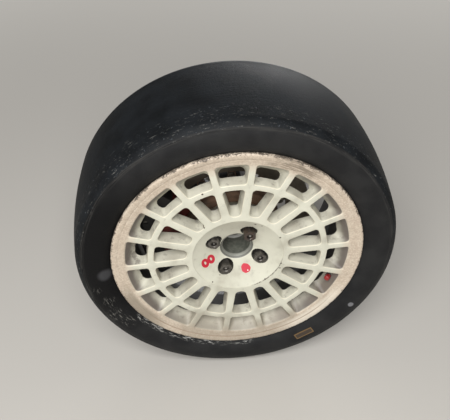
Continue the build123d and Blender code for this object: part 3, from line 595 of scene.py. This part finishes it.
# finishes: tables for buildFinish; these masks are shared by layers of the enamel
windowWall = ("y", 5.6, 7.5)
windowDeep = ("y", 34.0, 16.0)
faceOnly = ("y", 12.0, 9.0)
lipOnly = ("radius", 212.0, 220.0)
enamelPlan = dict(
    # gloss is a reading mapped to a roughness, and a bump is a reading and its height in mm
    roughness=0.5, gloss=("grain", 0.42, 0.66), bumps=(("grain", 0.05), ("worn", -0.25), ("chipped", -0.3)),
    # pocket is partly painted shade, edge is a painted highlight, and dust and grime are partly painted shade
    # where the layers below say so
    colours=dict(face="#cfcdbc", faceDim="#c5c3b2", bare="#564d44", primer="#c6b7a4", primerDim="#a8937f",
                 rubbed="#857868", grimeAndShade="#8b8070", dust="#5f5650", groove="#8a7460", pocket="#3a332e",
                 boreEdge="#6f6f68", fleck="#8d7b6a", pale="#e0d8c8", speck="#6b6357", edge="#ece4cd"),
    # grain in mm, detail and roughness; grain and fine stand for the spray's texture and the lip's wear, of
    # half a millimetre or so, and are drawn coarser so that they show
    noises=dict(cloud=(50.0, 4.0, 0.5), patch=(13.0, 6.0, 0.68), grain=(2.2, 5.0, 0.5),
                fine=(3.4, 5.0, 0.7), speckle=(8.0, 6.0, 0.8)),
    # how many to a mm along the turn, across the wheel and outwards, then detail and roughness
    streaks=dict(streak=((0.03, 0.3, 0.35), 6.0, 0.7)),
    # x, z and radius
    spots=dict(
        chip=((52.7, -66.9, 1.3), (80.4, -38.3, 1.4), (77.8, 39.6, 1.7), (82.5, -26.6, 1.2),
              (-48.6, -66.7, 1.3), (-63.3, 153.1, 1.9), (18.5, -139.7, 1.5), (-9.4, -183.9, 1.5),
              (-62.1, 75.2, 1.6), (31.7, 70.2, 1.7), (43.5, 66.9, 1.2), (-33.9, -57.6, 1.0),
              (109.0, -127.0, 1.3), (-40.0, -166.0, 1.0), (27.9, 58.5, 1.3)),
        smeared=[(-200.0, 15.0, 60.0)],
        # windows darkened with dust and painted shade
        dustyShadedWindows=((185.0, -75.0, 34.0), (150.0, -130.0, 38.0), (105.0, -168.0, 30.0)),
        scuffed=[(95.0, 196.0, 52.0)], soiled=[(-190.0, -120.0, 75.0)], cleaned=[(160.0, -165.0, 95.0)],
        shaded=[(0.0, 95.0, 62.0)],
        nutPocket=[(*studPlace(rimPlan, index).xz, rimPlan["pocket"]) for index in range(4)]),
    # a reading, its range, and what that range becomes
    ramps=dict(level=("radius", 93.0, 159.0, 5.5, 4.2), low=("z", -110.0, -235.0, 0.0, 1.0),
               outward=("radius", 228.5, 236.5, 0.0, 0.26)),
    # a reading times a factor, plus another reading
    sums=dict(depth=("level", -1.0, "y"), cloudy=("cloud", 14.0, "radius"), patchy=("patch", 12.0, "radius"),
              sinking=("low", 0.45, "cloud"), ragged=("fine", 0.65, "outward"),
              wear=("patch", 0.7, "ragged"), roughChip=("grain", 1.2, "chip"), toward=("z", -0.8391, "x")),
    # a base colour, then layers from the bottom up: the colour, how much of it at most, and its masks, each a
    # reading, the level where it sets in and the one where it is full
    coats=dict(
        # the windows' walls: the face's paint, greyer with brake dust and partly darker as painted shade
        wall=("#cbc8b8", dict(
            wallCloud=("#b8b4a5", 1.0, ("cloud", 0.35, 0.65)),
            wallDust=("dust", 0.55, ("patch", 0.52, 0.72)))),
        # the barrel inside: near black with brake dust and with painted shade
        barrel=("#35322e", dict(barrelCloud=("#1f1d1b", 1.0, ("cloud", 0.35, 0.7)))),
        lip=("primer", dict(
            lipPatch=("primerDim", 1.0, ("patch", 0.38, 0.66)),
            lipPaint=("face", 0.6, ("streak", 0.55, 0.68)),
            lipFleck=("fleck", 0.75, ("fine", 0.5, 0.6)),
            lipPale=("pale", 0.7, ("fine", 0.47, 0.4)))),
        whole=("face", dict(
            faceCloud=("faceDim", 1.0, ("cloud", 0.35, 0.7)),
            faceDust=("dust", 0.25, ("patch", 0.56, 0.75)),
            # the walls' coat inside the windows, partly painted shade
            walls=("wall", 1.0, ("y", 5.9, 9.0), ("radius", 86.5, 88.0)),
            # painted highlight in a pale cream along the windows' front edges
            edgeHighlight=("edge", 0.75, ("depth", 0.08, 0.3), ("depth", 1.9, 1.1), ("radius", 88.0, 90.0)),
            # dust and painted shade on the windows' outer walls, darkest by the mouth's outer edge
            wallDustAndShade=("dust", 0.35, ("cloudy", 205.0, 216.0), windowWall, windowDeep),
            # dust and painted shade on the walls of the windows at the left and right, towards the outer edge
            sideDustAndShade=("dust", 0.9, ("cloudy", 196.0, 211.0), windowWall, windowDeep, ("aside", 60.0, 170.0)),
            smear=("dust", 0.6, ("patch", 0.44, 0.58), ("smeared", 1.1, 0.7), ("radius", 170.0, 190.0),
                   windowWall),
            # dust and painted shade in the valve's window and the lower right windows
            dirt=("dust", 0.5, ("dustyShadedWindows", 1.2, 0.6), ("radius", 162.0, 180.0), windowWall),
            # the barrel's dark coat inside, brake dust and painted shade
            inside=("barrel", 1.0, ("y", 26.5, 33.0), ("radius", 188.5, 190.5), ("y", 215.0, 205.0)),
            rubbedLip=("lip", 1.0, ("patchy", 211.0, 219.0), ("y", 7.0, 5.6)),
            thinPaint=("primer", 0.6, ("patchy", 196.0, 212.0), ("y", 7.0, 5.6)),
            scuff=("rubbed", 0.9, ("streak", 0.42, 0.55), ("scuffed", 1.2, 0.6), ("radius", 211.0, 215.0)),
            lowGrime=("grimeAndShade", 0.5, ("sinking", 0.55, 0.85), ("y", 40.0, 30.0)),
            cornerGrime=("grimeAndShade", 0.85, ("soiled", 1.2, 0.3), lipOnly, faceOnly),
            cleanLip=("pale", 0.6, ("cleaned", 1.1, 0.4), lipOnly, faceOnly),
            # painted shade over the top of the dish, in the grime colour
            dishTop=("grimeAndShade", 0.2, ("shaded", 1.1, 0.4), ("radius", 87.0, 84.0), ("y", 5.6, 6.5)),
            lipGroove=("groove", 0.7, ("radius", 221.3, 222.2), ("radius", 224.0, 223.0),
                       ("z", -120.0, -170.0), ("streak", 0.3, 0.5)),
            worn=("bare", 0.9, ("wear", 0.865, 0.92), faceOnly),
            dishEdge=("bare", 0.8, ("radius", 84.7, 85.3), ("radius", 86.9, 86.1),
                      ("toward", 91.38, 104.43), ("grain", 0.4, 0.5)),
            chipped=("bare", 1.0, ("roughChip", 1.75, 1.5), ("y", 30.0, 20.0)),
            specks=("speck", 1.0, ("speckle", 0.705, 0.725)),
            # the nuts' pockets darkened with dirt and painted shade
            pockets=("pocket", 0.9, ("nutPocket", 1.012, 0.995)),
            boreRing=("boreEdge", 1.0, ("radius", 31.9, 31.4), ("y", 33.0, 33.6)))),
    ),
)
outerSide = ("y", 60.0, 40.0)
shoulderOn = ("radius", 286.0, 291.0)
rubberPlan = dict(
    roughness=0.6, specular=0.18, gloss=("cloud", 0.5, 0.75),
    bumps=(("pits", 0.5), ("lines", 0.3), ("lumps", 0.5)),
    # pits of a millimetre and picked-up grit of two or three, drawn coarser so that they show
    noises=dict(cloud=(45.0, 5.0, 0.5), pits=(5.0, 4.0, 0.75), grit=(7.0, 6.0, 0.8)),
    streaks=dict(lines=((0.02, 0.5, 0.5), 5.0, 0.6), flecks=((0.09, 0.4, 0.4), 6.0, 0.72)),
    spots=dict(
        # a wide spot of painted shade over the tyre's left side
        leftShade=[(-262.0, 30.0, 210.0)], smudge=[(-249.0, -18.5, 14.0)], spot=[(226.5, -143.5, 6.0)],
        # rubbed moulding marks, and those beside the bead
        marks=((-270.0, -56.0, 12.0), (-248.0, -88.0, 15.0), (-238.0, -124.0, 19.0), (-216.0, -148.0, 16.0)),
        beadMarks=[(*ringPoint(242.5, radians(turn)).xz, 20.0) for turn in range(-141, -84, 9)]),
    coats=dict(
        shoulder=("#101214", dict(shoulderCloud=("#1b1e21", 1.0, ("cloud", 0.3, 0.7)))),
        whole=("#1b1b1c", dict(
            bloom=("#272727", 1.0, ("cloud", 0.3, 0.7)),
            # painted shade: the left of the sidewall darker
            leftSideShade=("#050506", 0.95, ("leftShade", 1.25, 0.4)),
            tread=("shoulder", 1.0, ("radius", 289.5, 292.0)),
            wornRidge=("#3b3a38", 0.8, ("radius", 282.0, 287.5), ("radius", 291.5, 289.5),
                       ("lines", 0.4, 0.66)),
            scrapes=("#7b7a75", 0.75, ("flecks", 0.6, 0.66), shoulderOn, outerSide),
            lumps=("#595e63", 0.9, ("grit", 0.6, 0.65), ("pits", 0.38, 0.5), shoulderOn, outerSide),
            beadScuff=("#a5a49f", 0.85, ("flecks", 0.52, 0.6), ("beadMarks", 1.1, 0.5),
                       ("radius", 237.5, 239.5), ("radius", 248.0, 244.0)),
            wallScuff=("#77756f", 0.75, ("flecks", 0.545, 0.62), ("marks", 1.2, 0.4), outerSide),
            greySmudge=("#404042", 0.8, ("smudge", 1.2, 0.5), outerSide),
            chalkSpot=("#717173", 1.0, ("spot", 1.1, 0.8), outerSide))),
    ),
)
hubPlan = dict(
    roughness=0.5, metallic=0.25, gloss=("cloud", 0.35, 0.65), bumps=[("cloud", 0.1)],
    noises=dict(cloud=(7.0, 4.0, 0.5)),
    coats=dict(whole=("#54564e", dict(
        oil=("#6a6b61", 1.0, ("cloud", 0.35, 0.7)),
        mouth=("#9a9a91", 0.8, ("y", 41.5, 40.5)),
        # painted light: the inner step made pale where the bore lies in shade
        step=("#b9b8b2", 0.9, ("y", 84.0, 86.5), ("radius", 20.0, 20.8), ("y", 90.0, 88.0)),
        rust=("#5b3a2c", 1.0, ("y", 92.0, 99.0), ("radius", 27.0, 25.0), ("cloud", 0.3, 0.5))))),
)


def darkSteel(name, colours, roughness, metallic=0.75, spots=(), **layers):
    # turned steel gone dark with age and oil: cloudy, neither bright nor matt
    mottle = dict(mottle=(colours[1], 1.0, ("cloud", 0.35, 0.7)))
    return buildFinish(name, dict(
        roughness=roughness, metallic=metallic, gloss=("cloud", roughness - 0.15, roughness + 0.2),
        bumps=[("cloud", 0.1)], noises=dict(cloud=(8.0, 4.0, 0.5)), spots=dict(spots),
        coats=dict(whole=(colours[0], mottle | layers))))


def coarseSkin(name, colours, roughness, metallic=0.0, **layers):
    # cast in sand or moulded: a coarse skin, bare or painted, cloudy where it has rusted or gathered dust
    mottle = dict(mottle=(colours[1], 1.0, ("cloud", 0.35, 0.68)))
    return buildFinish(name, dict(
        roughness=roughness, metallic=metallic, gloss=("grit", roughness - 0.15, roughness + 0.15),
        bumps=[("grit", 0.12)], noises=dict(cloud=(22.0, 6.0, 0.5), grit=(1.6, 3.0, 0.5)),
        coats=dict(whole=(colours[0], mottle | layers))))


print("finishes")
# baked enamel on cast light alloy: even low gloss, chipped, rubbed to its primer at the lip, dusty inside
# painted shade darkens the barrel, the windows' walls and the nuts' pockets; a painted highlight lines the
# windows' edges
paint = buildFinish("ivory_enamel", enamelPlan)
# worn carbon-filled rubber: black with a grey bloom, pitted and flecked at the shoulder, rubbed below
# painted shade darkens the tyre's left side
rubber = buildFinish("slick_rubber", rubberPlan)
# bored steel gone grey-green with oil, its bevelled mouth lighter, its inner step paler as painted light in
# the bore's shade
hubSteel = buildFinish("hub_steel_aged", hubPlan)
# nuts gone dark in use, the topmost one flecked with brown rust
nutSteel = darkSteel("nut_steel_dark", ("#4d4945", "#6b6761"), 0.4, 0.7,
                     spots=dict(topNut=[(*studPlace(rimPlan, 0).xz, 14.0)]),
                     rust=("#4a3427", 0.6, ("topNut", 1.1, 0.9), ("cloud", 0.35, 0.6)))
# rolled steel: shinier than the nuts, grey
studSteel = darkSteel("stud_steel", ("#4d4a46", "#85817a"), 0.35, 0.85)
# rusted all over: a pinkish brown without any shine of metal, made paler as painted light in the bore's shade
shaftNut = darkSteel("shaft_nut_rusty", ("#b07f6c", "#cfa08d"), 0.6, 0.1)
# near black and smooth under its grease
jointSteel = darkSteel("joint_steel_greased", ("#37332f", "#4a453f"), 0.4)
# ground bright: the palest and glossiest of the steels
ballSteel = darkSteel("ball_steel_ground", ("#77736c", "#8d8880"), 0.3, 0.9)
# bare iron under old rust: brown, mottled and matt
rustyIron = coarseSkin("rusty_cast_iron", ("#7d604b", "#54473b"), 0.8, 0.1)
# bare iron that the pads rub: greyer, with a low shine and a brown haze
discIron = coarseSkin("disc_iron", ("#5c564c", "#6d6459"), 0.5, 0.4)
# cast in sand and painted black: grainy and dull, greyed by dust
knuckleIron = coarseSkin("knuckle_iron_black", ("#26262a", "#34322f"), 0.6)
# brushed on red, darkened as painted shade; black past the disc's edge with the pads' dust and painted shade
caliperPaint = coarseSkin("caliper_paint_red", ("#702420", "#4a1916"), 0.5,
                          padDust=("#1d1b1a", 1.0, ("radius", 136.0, 144.0), ("cloud", 0.2, 0.3)))
# pressed from dark grains: as matt as anything here
lining = coarseSkin("pad_lining_dark", ("#2a2724", "#3a3530"), 0.82)
# moulded rubber: black, matt, with a faint bloom
stemRubber = coarseSkin("stem_rubber", ("#1d1d1d", "#2a2a29"), 0.7)
# moulded red plastic, half glossy, dirty in patches
capRed = coarseSkin("cap_plastic_red", ("#8f1f20", "#6e2a26"), 0.45)
plainNodes = dict(
    disc_bolts=studSteel, joint_race=jointSteel, joint_balls=ballSteel, bearing=ballSteel, pad_outer=lining,
    pad_inner=lining, pad_pins=studSteel, caliper_bolts=studSteel, valve_stem=stemRubber,
)
for node, material in plainNodes.items():
    piece = bpy.data.objects[node]
    piece.data.materials.clear()
    piece.data.materials.append(material)


# brake, hub and knuckle: the CAD's shapes with every sharp edge rounded, by so many mm
softPlan = dict(
    knuckle=dict(edge=1.2, body="upright", slot="knuckle_iron", look=knuckleIron),
    caliper_outer=dict(edge=1.0, body="upright", slot="caliper_red", look=caliperPaint),
    caliper_inner=dict(edge=1.0, body="upright", slot="caliper_red", look=caliperPaint),
    disc_ring=dict(edge=0.4, body="wheel", slot="disc_iron", look=discIron),
    disc_bell=dict(edge=0.6, body="wheel", slot="rusty_iron", look=rustyIron),
    hub=dict(edge=0.5, body="wheel", slot="hub_steel", look=hubSteel),
    hub_nut=dict(edge=0.4, body="wheel", slot="nut_steel", look=shaftNut),
    shaft_joint=dict(edge=0.8, body="wheel", slot="joint_steel", look=jointSteel),
)


def soften(node, plan):
    # up to the first angle faces are one, past the second an edge is rounded, past the third it looks sharp
    flat, corner, sharp = radians(1), radians(40), 32
    bm = bmesh.new()
    bm.from_mesh(bpy.data.objects[node].data)
    bmesh.ops.remove_doubles(bm, verts=bm.verts, dist=0.01 * mm)
    bmesh.ops.dissolve_limit(bm, angle_limit=flat, verts=bm.verts, edges=bm.edges)
    edges = [edge for edge in bm.edges if edge.is_manifold and edge.calc_face_angle(0) > corner]
    bmesh.ops.bevel(bm, geom=edges, offset=plan["edge"] * mm, offset_type="OFFSET", affect="EDGES",
                    segments=2, profile=0.5, material=-1, clamp_overlap=True)
    print(node, len(edges), "edges rounded,", len(bm.faces), "faces")
    piece = addPiece(bm, node + "_soft", plan["look"], sharp)
    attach(piece, plan["body"])
    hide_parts(node)


for node, plan in softPlan.items():
    soften(node, plan)
buildRim(paint)
buildTyre(rubber)
buildNuts(nutSteel, studSteel)
buildCap(capRed)


# marks: thin films of paint and foil laid on the dish and on the tyre's side
markPlan = dict(
    film=0.12, sunk=0.3,     # how far a film stands out, and how far it reaches into what it lies on
    shares=(1.0, 0.75, 0.5, 0.25, 0.0), steps=40, sideSteps=8,
    # a painted figure of two rings: centres, half length and half width outside and inside, and turn
    rings=dict(ring_upper=(-49.7, -19.9), ring_lower=(-61.1, -23.9)),
    ringOuter=(7.0, 10.8), ringInner=(1.8, 3.9), ringTurn=19.6, red="#bb1631",
    # a label's foil, glossier than the paint, as x, z, length, width and turn
    sticker=(-55.6, -21.8, 30.0, 25.0, 19.6), foil="#c6c5b1",
    # a painted dot and a painted highlight on it, as x, z and radius
    dot=(17.1, -50.3, 9.0), dotRed="#c63949", dotWavy=0.03, gap=(20.8, -54.2, 1.2), dotHighlight="#f2f0e6",
    # the tyre's label, as radius, turn, length and width
    label=(260.5, -58.3, 40.0, 14.0), labelGold="#6e5532", labelDark="#3b3026", labelBorder=2.2,
)


def dishHeight(radius):
    return heightAt(sorted([rimPlan["dish"][0]] + arcPoints(*rimPlan["dish"], 60)), radius)


def layMark(loops, name, colour, roughness, height, lift=0.0):
    # a film between closed loops of points (x, z), from the outermost in, closed where the last is one point
    bm = bmesh.new()
    rings = [[bm.verts.new((x, 0, z)) for x, z in loop] for loop in loops]
    for ring in rings:
        for first, second in zip(ring, ring[1:] + ring[:1]):
            bm.edges.new((first, second))
    for outer, inner in zip(rings, rings[1:]):
        for k in range(len(outer)):
            bm.faces.new((outer[k - 1], outer[k], inner[k], inner[k - 1]))
    if loops[-1][0] == loops[-1][-1]:
        bmesh.ops.pointmerge(bm, verts=rings[-1], merge_co=rings[-1][0].co)
    made = bmesh.ops.extrude_face_region(bm, geom=bm.faces[:], use_keep_orig=True)["geom"]
    under = {item for item in made if isinstance(item, bmesh.types.BMVert)}
    for vert in bm.verts:
        deep = markPlan["sunk"] if vert in under else -markPlan["film"]
        vert.co.y = height(ringRadius(vert)) - lift + deep
    bmesh.ops.recalc_face_normals(bm, faces=bm.faces)
    piece = seat(bm, name, startMaterial(name, colour, roughness)[0])


def placeLoop(line, x, z, turn):
    # points about a mark's own centre, turned and moved to where it is on the wheel
    rotate = Matrix.Rotation(-radians(turn), 3, "Y")
    return [(x + point.x, z + point.z) for point in [rotate @ spot for spot in line]]


def roundLoops(x, z, sizes, turn=0.0, steps=markPlan["steps"], wavy=0.0):
    # ovals inside one another, from (half length, half width), with an edge as a brush leaves it where wavy
    loops = []
    for length, width in sizes:
        line = []
        for step in [2 * pi * k / steps for k in range(steps)]:
            brush = 1 + wavy * sin(3 * step + 1) + wavy * 0.6 * sin(7 * step)
            line.append(Vector((length * brush * cos(step), 0, width * brush * sin(step))))
        loops.append(placeLoop(line, x, z, turn))
    return loops


def squareLoops(x, z, width, height, turn):
    # rectangles inside one another, each side in steps
    loops, steps = [], markPlan["sideSteps"]
    for share in markPlan["shares"]:
        w, h = share * width / 2, share * height / 2
        corners = [Vector((w, 0, h)), Vector((-w, 0, h)), Vector((-w, 0, -h)), Vector((w, 0, -h))]
        sides = zip(corners, corners[1:] + corners[:1])
        line = [start.lerp(end, k / steps) for start, end in sides for k in range(steps)]
        loops.append(placeLoop(line, x, z, turn))
    return loops


def buildMarks(plan):
    film, shares = plan["film"], plan["shares"]
    layMark(squareLoops(*plan["sticker"]), "sticker_clear", plan["foil"], 0.3, dishHeight)
    for name, (x, z) in plan["rings"].items():
        loops = roundLoops(x, z, (plan["ringOuter"], plan["ringInner"]), plan["ringTurn"])
        layMark(loops, name, plan["red"], 0.45, dishHeight, film)
    x, z, size = plan["dot"]
    loops = roundLoops(x, z, [(size * share, size * share) for share in shares], wavy=plan["dotWavy"])
    layMark(loops, "dot_red", plan["dotRed"], 0.5, dishHeight)
    # the dot's painted highlight, a pale spot laid on its paint
    x, z, size = plan["gap"]
    loops = roundLoops(x, z, [(size * share, size * share) for share in shares], steps=16)
    layMark(loops, "dot_gap", plan["dotHighlight"], 0.4, dishHeight, film)
    radius, turn, length, width = plan["label"]
    centre = ringPoint(radius, radians(turn))
    for name, less, colour, lift in (("label_border", 0.0, plan["labelGold"], 0.0),
                                     ("label_field", 2 * plan["labelBorder"], plan["labelDark"], film)):
        loops = squareLoops(centre.x, centre.z, length - less, width - less, turn + 90)
        layMark(loops, name, colour, 0.5, sideHeight, lift)
    print("marks laid")


buildMarks(markPlan)


# floor, light and camera
studio = dict(
    # the floor fades into the backdrop between two distances, for the camera alone
    floor=12.0, floorColour="#c3bfb8", fill=0.14, backdrop="#bfbcb6", fade=(0.8, 2.6),
    # name, power, size and place; the one behind is low, so it lights the wheel's back and hardly the floor
    lamps=(("key", 122.0, 2.0, (-0.5, -2.2, 1.95)), ("back", 120.0, 2.0, (1.2, 4.6, 0.25))),
)


def buildStudio(plan):
    bm = bmesh.new()
    bmesh.ops.create_grid(bm, x_segments=1, y_segments=1, size=plan["floor"])
    bmesh.ops.translate(bm, vec=(0, 0, tyreLow.z), verts=bm.verts)
    mesh = bpy.data.meshes.new("floor")
    bm.to_mesh(mesh)
    bm.free()
    material = bpy.data.materials.new("floor_plain")
    material.use_nodes = True
    tree = material.node_tree
    shader = tree.nodes["Principled BSDF"]
    shader.inputs["Base Color"].default_value = linear(plan["floorColour"])
    shader.inputs["Roughness"].default_value = 0.9
    source = addNode(tree, "TexCoord").outputs["Object"]
    away = addNode(tree, "VectorMath", {"operation": "LENGTH"}, {0: source}).outputs["Value"]
    seen = addNode(tree, "LightPath").outputs["Is Camera Ray"]
    near, far = plan["fade"]
    feeds = {"Value": away, "From Min": near, "From Max": far, "To Max": seen}
    share = addNode(tree, "MapRange", {"interpolation_type": "SMOOTHSTEP"}, feeds).outputs[0]
    plain = addNode(tree, "Emission", {}, {"Color": linear(plan["backdrop"])}).outputs[0]
    both = addNode(tree, "MixShader", {}, {0: share, 1: shader.outputs[0], 2: plain}).outputs[0]
    tree.links.new(both, tree.nodes["Material Output"].inputs["Surface"])
    mesh.materials.append(material)
    floor = bpy.data.objects.new("floor", mesh)
    bpy.context.collection.objects.link(floor)
    for name, power, size, place in plan["lamps"]:
        light = bpy.data.lights.new(name, "AREA")
        light.size, light.energy = size, power
        lamp = bpy.data.objects.new(name, light)
        lamp.location = place
        lamp.rotation_euler = (axle - lamp.location).to_track_quat("-Z", "Y").to_euler()
        bpy.context.collection.objects.link(lamp)
    world = bpy.data.worlds.new("studio")
    world.use_nodes = True
    tree = world.node_tree
    fill = tree.nodes["Background"]
    fill.inputs["Color"].default_value = (1, 1, 1, 1)
    fill.inputs["Strength"].default_value = plan["fill"]
    seen = addNode(tree, "Background", {}, {"Color": linear(plan["backdrop"])}).outputs[0]
    fromCamera = addNode(tree, "LightPath").outputs["Is Camera Ray"]
    both = addNode(tree, "MixShader", {}, {0: fromCamera, 1: fill.outputs[0], 2: seen}).outputs[0]
    tree.links.new(both, tree.nodes["World Output"].inputs["Surface"])
    bpy.context.scene.world = world
    print("studio set")


# the photograph's viewing angle, as the camera's place and the directions of its right and up
view = dict(lens=57.6, sensor=36.0, place=(-0.110, -1.1975, 0.779),
            right=(0.99574, -0.09212, -0.00484), up=(0.0627, 0.6374, 0.76798))


def buildCamera(plan):
    data = bpy.data.cameras.new("camera")
    data.lens, data.sensor_width, data.sensor_fit = plan["lens"], plan["sensor"], "HORIZONTAL"
    camera = bpy.data.objects.new("camera", data)
    right, up = Vector(plan["right"]), Vector(plan["up"])
    turn = Matrix((right, up, right.cross(up))).transposed()
    camera.matrix_world = Matrix.Translation(plan["place"]) @ turn.to_4x4()
    bpy.context.collection.objects.link(camera)
    bpy.context.scene.camera = camera


buildStudio(studio)
buildCamera(view)
bpy.context.scene.view_settings.view_transform = "Standard"
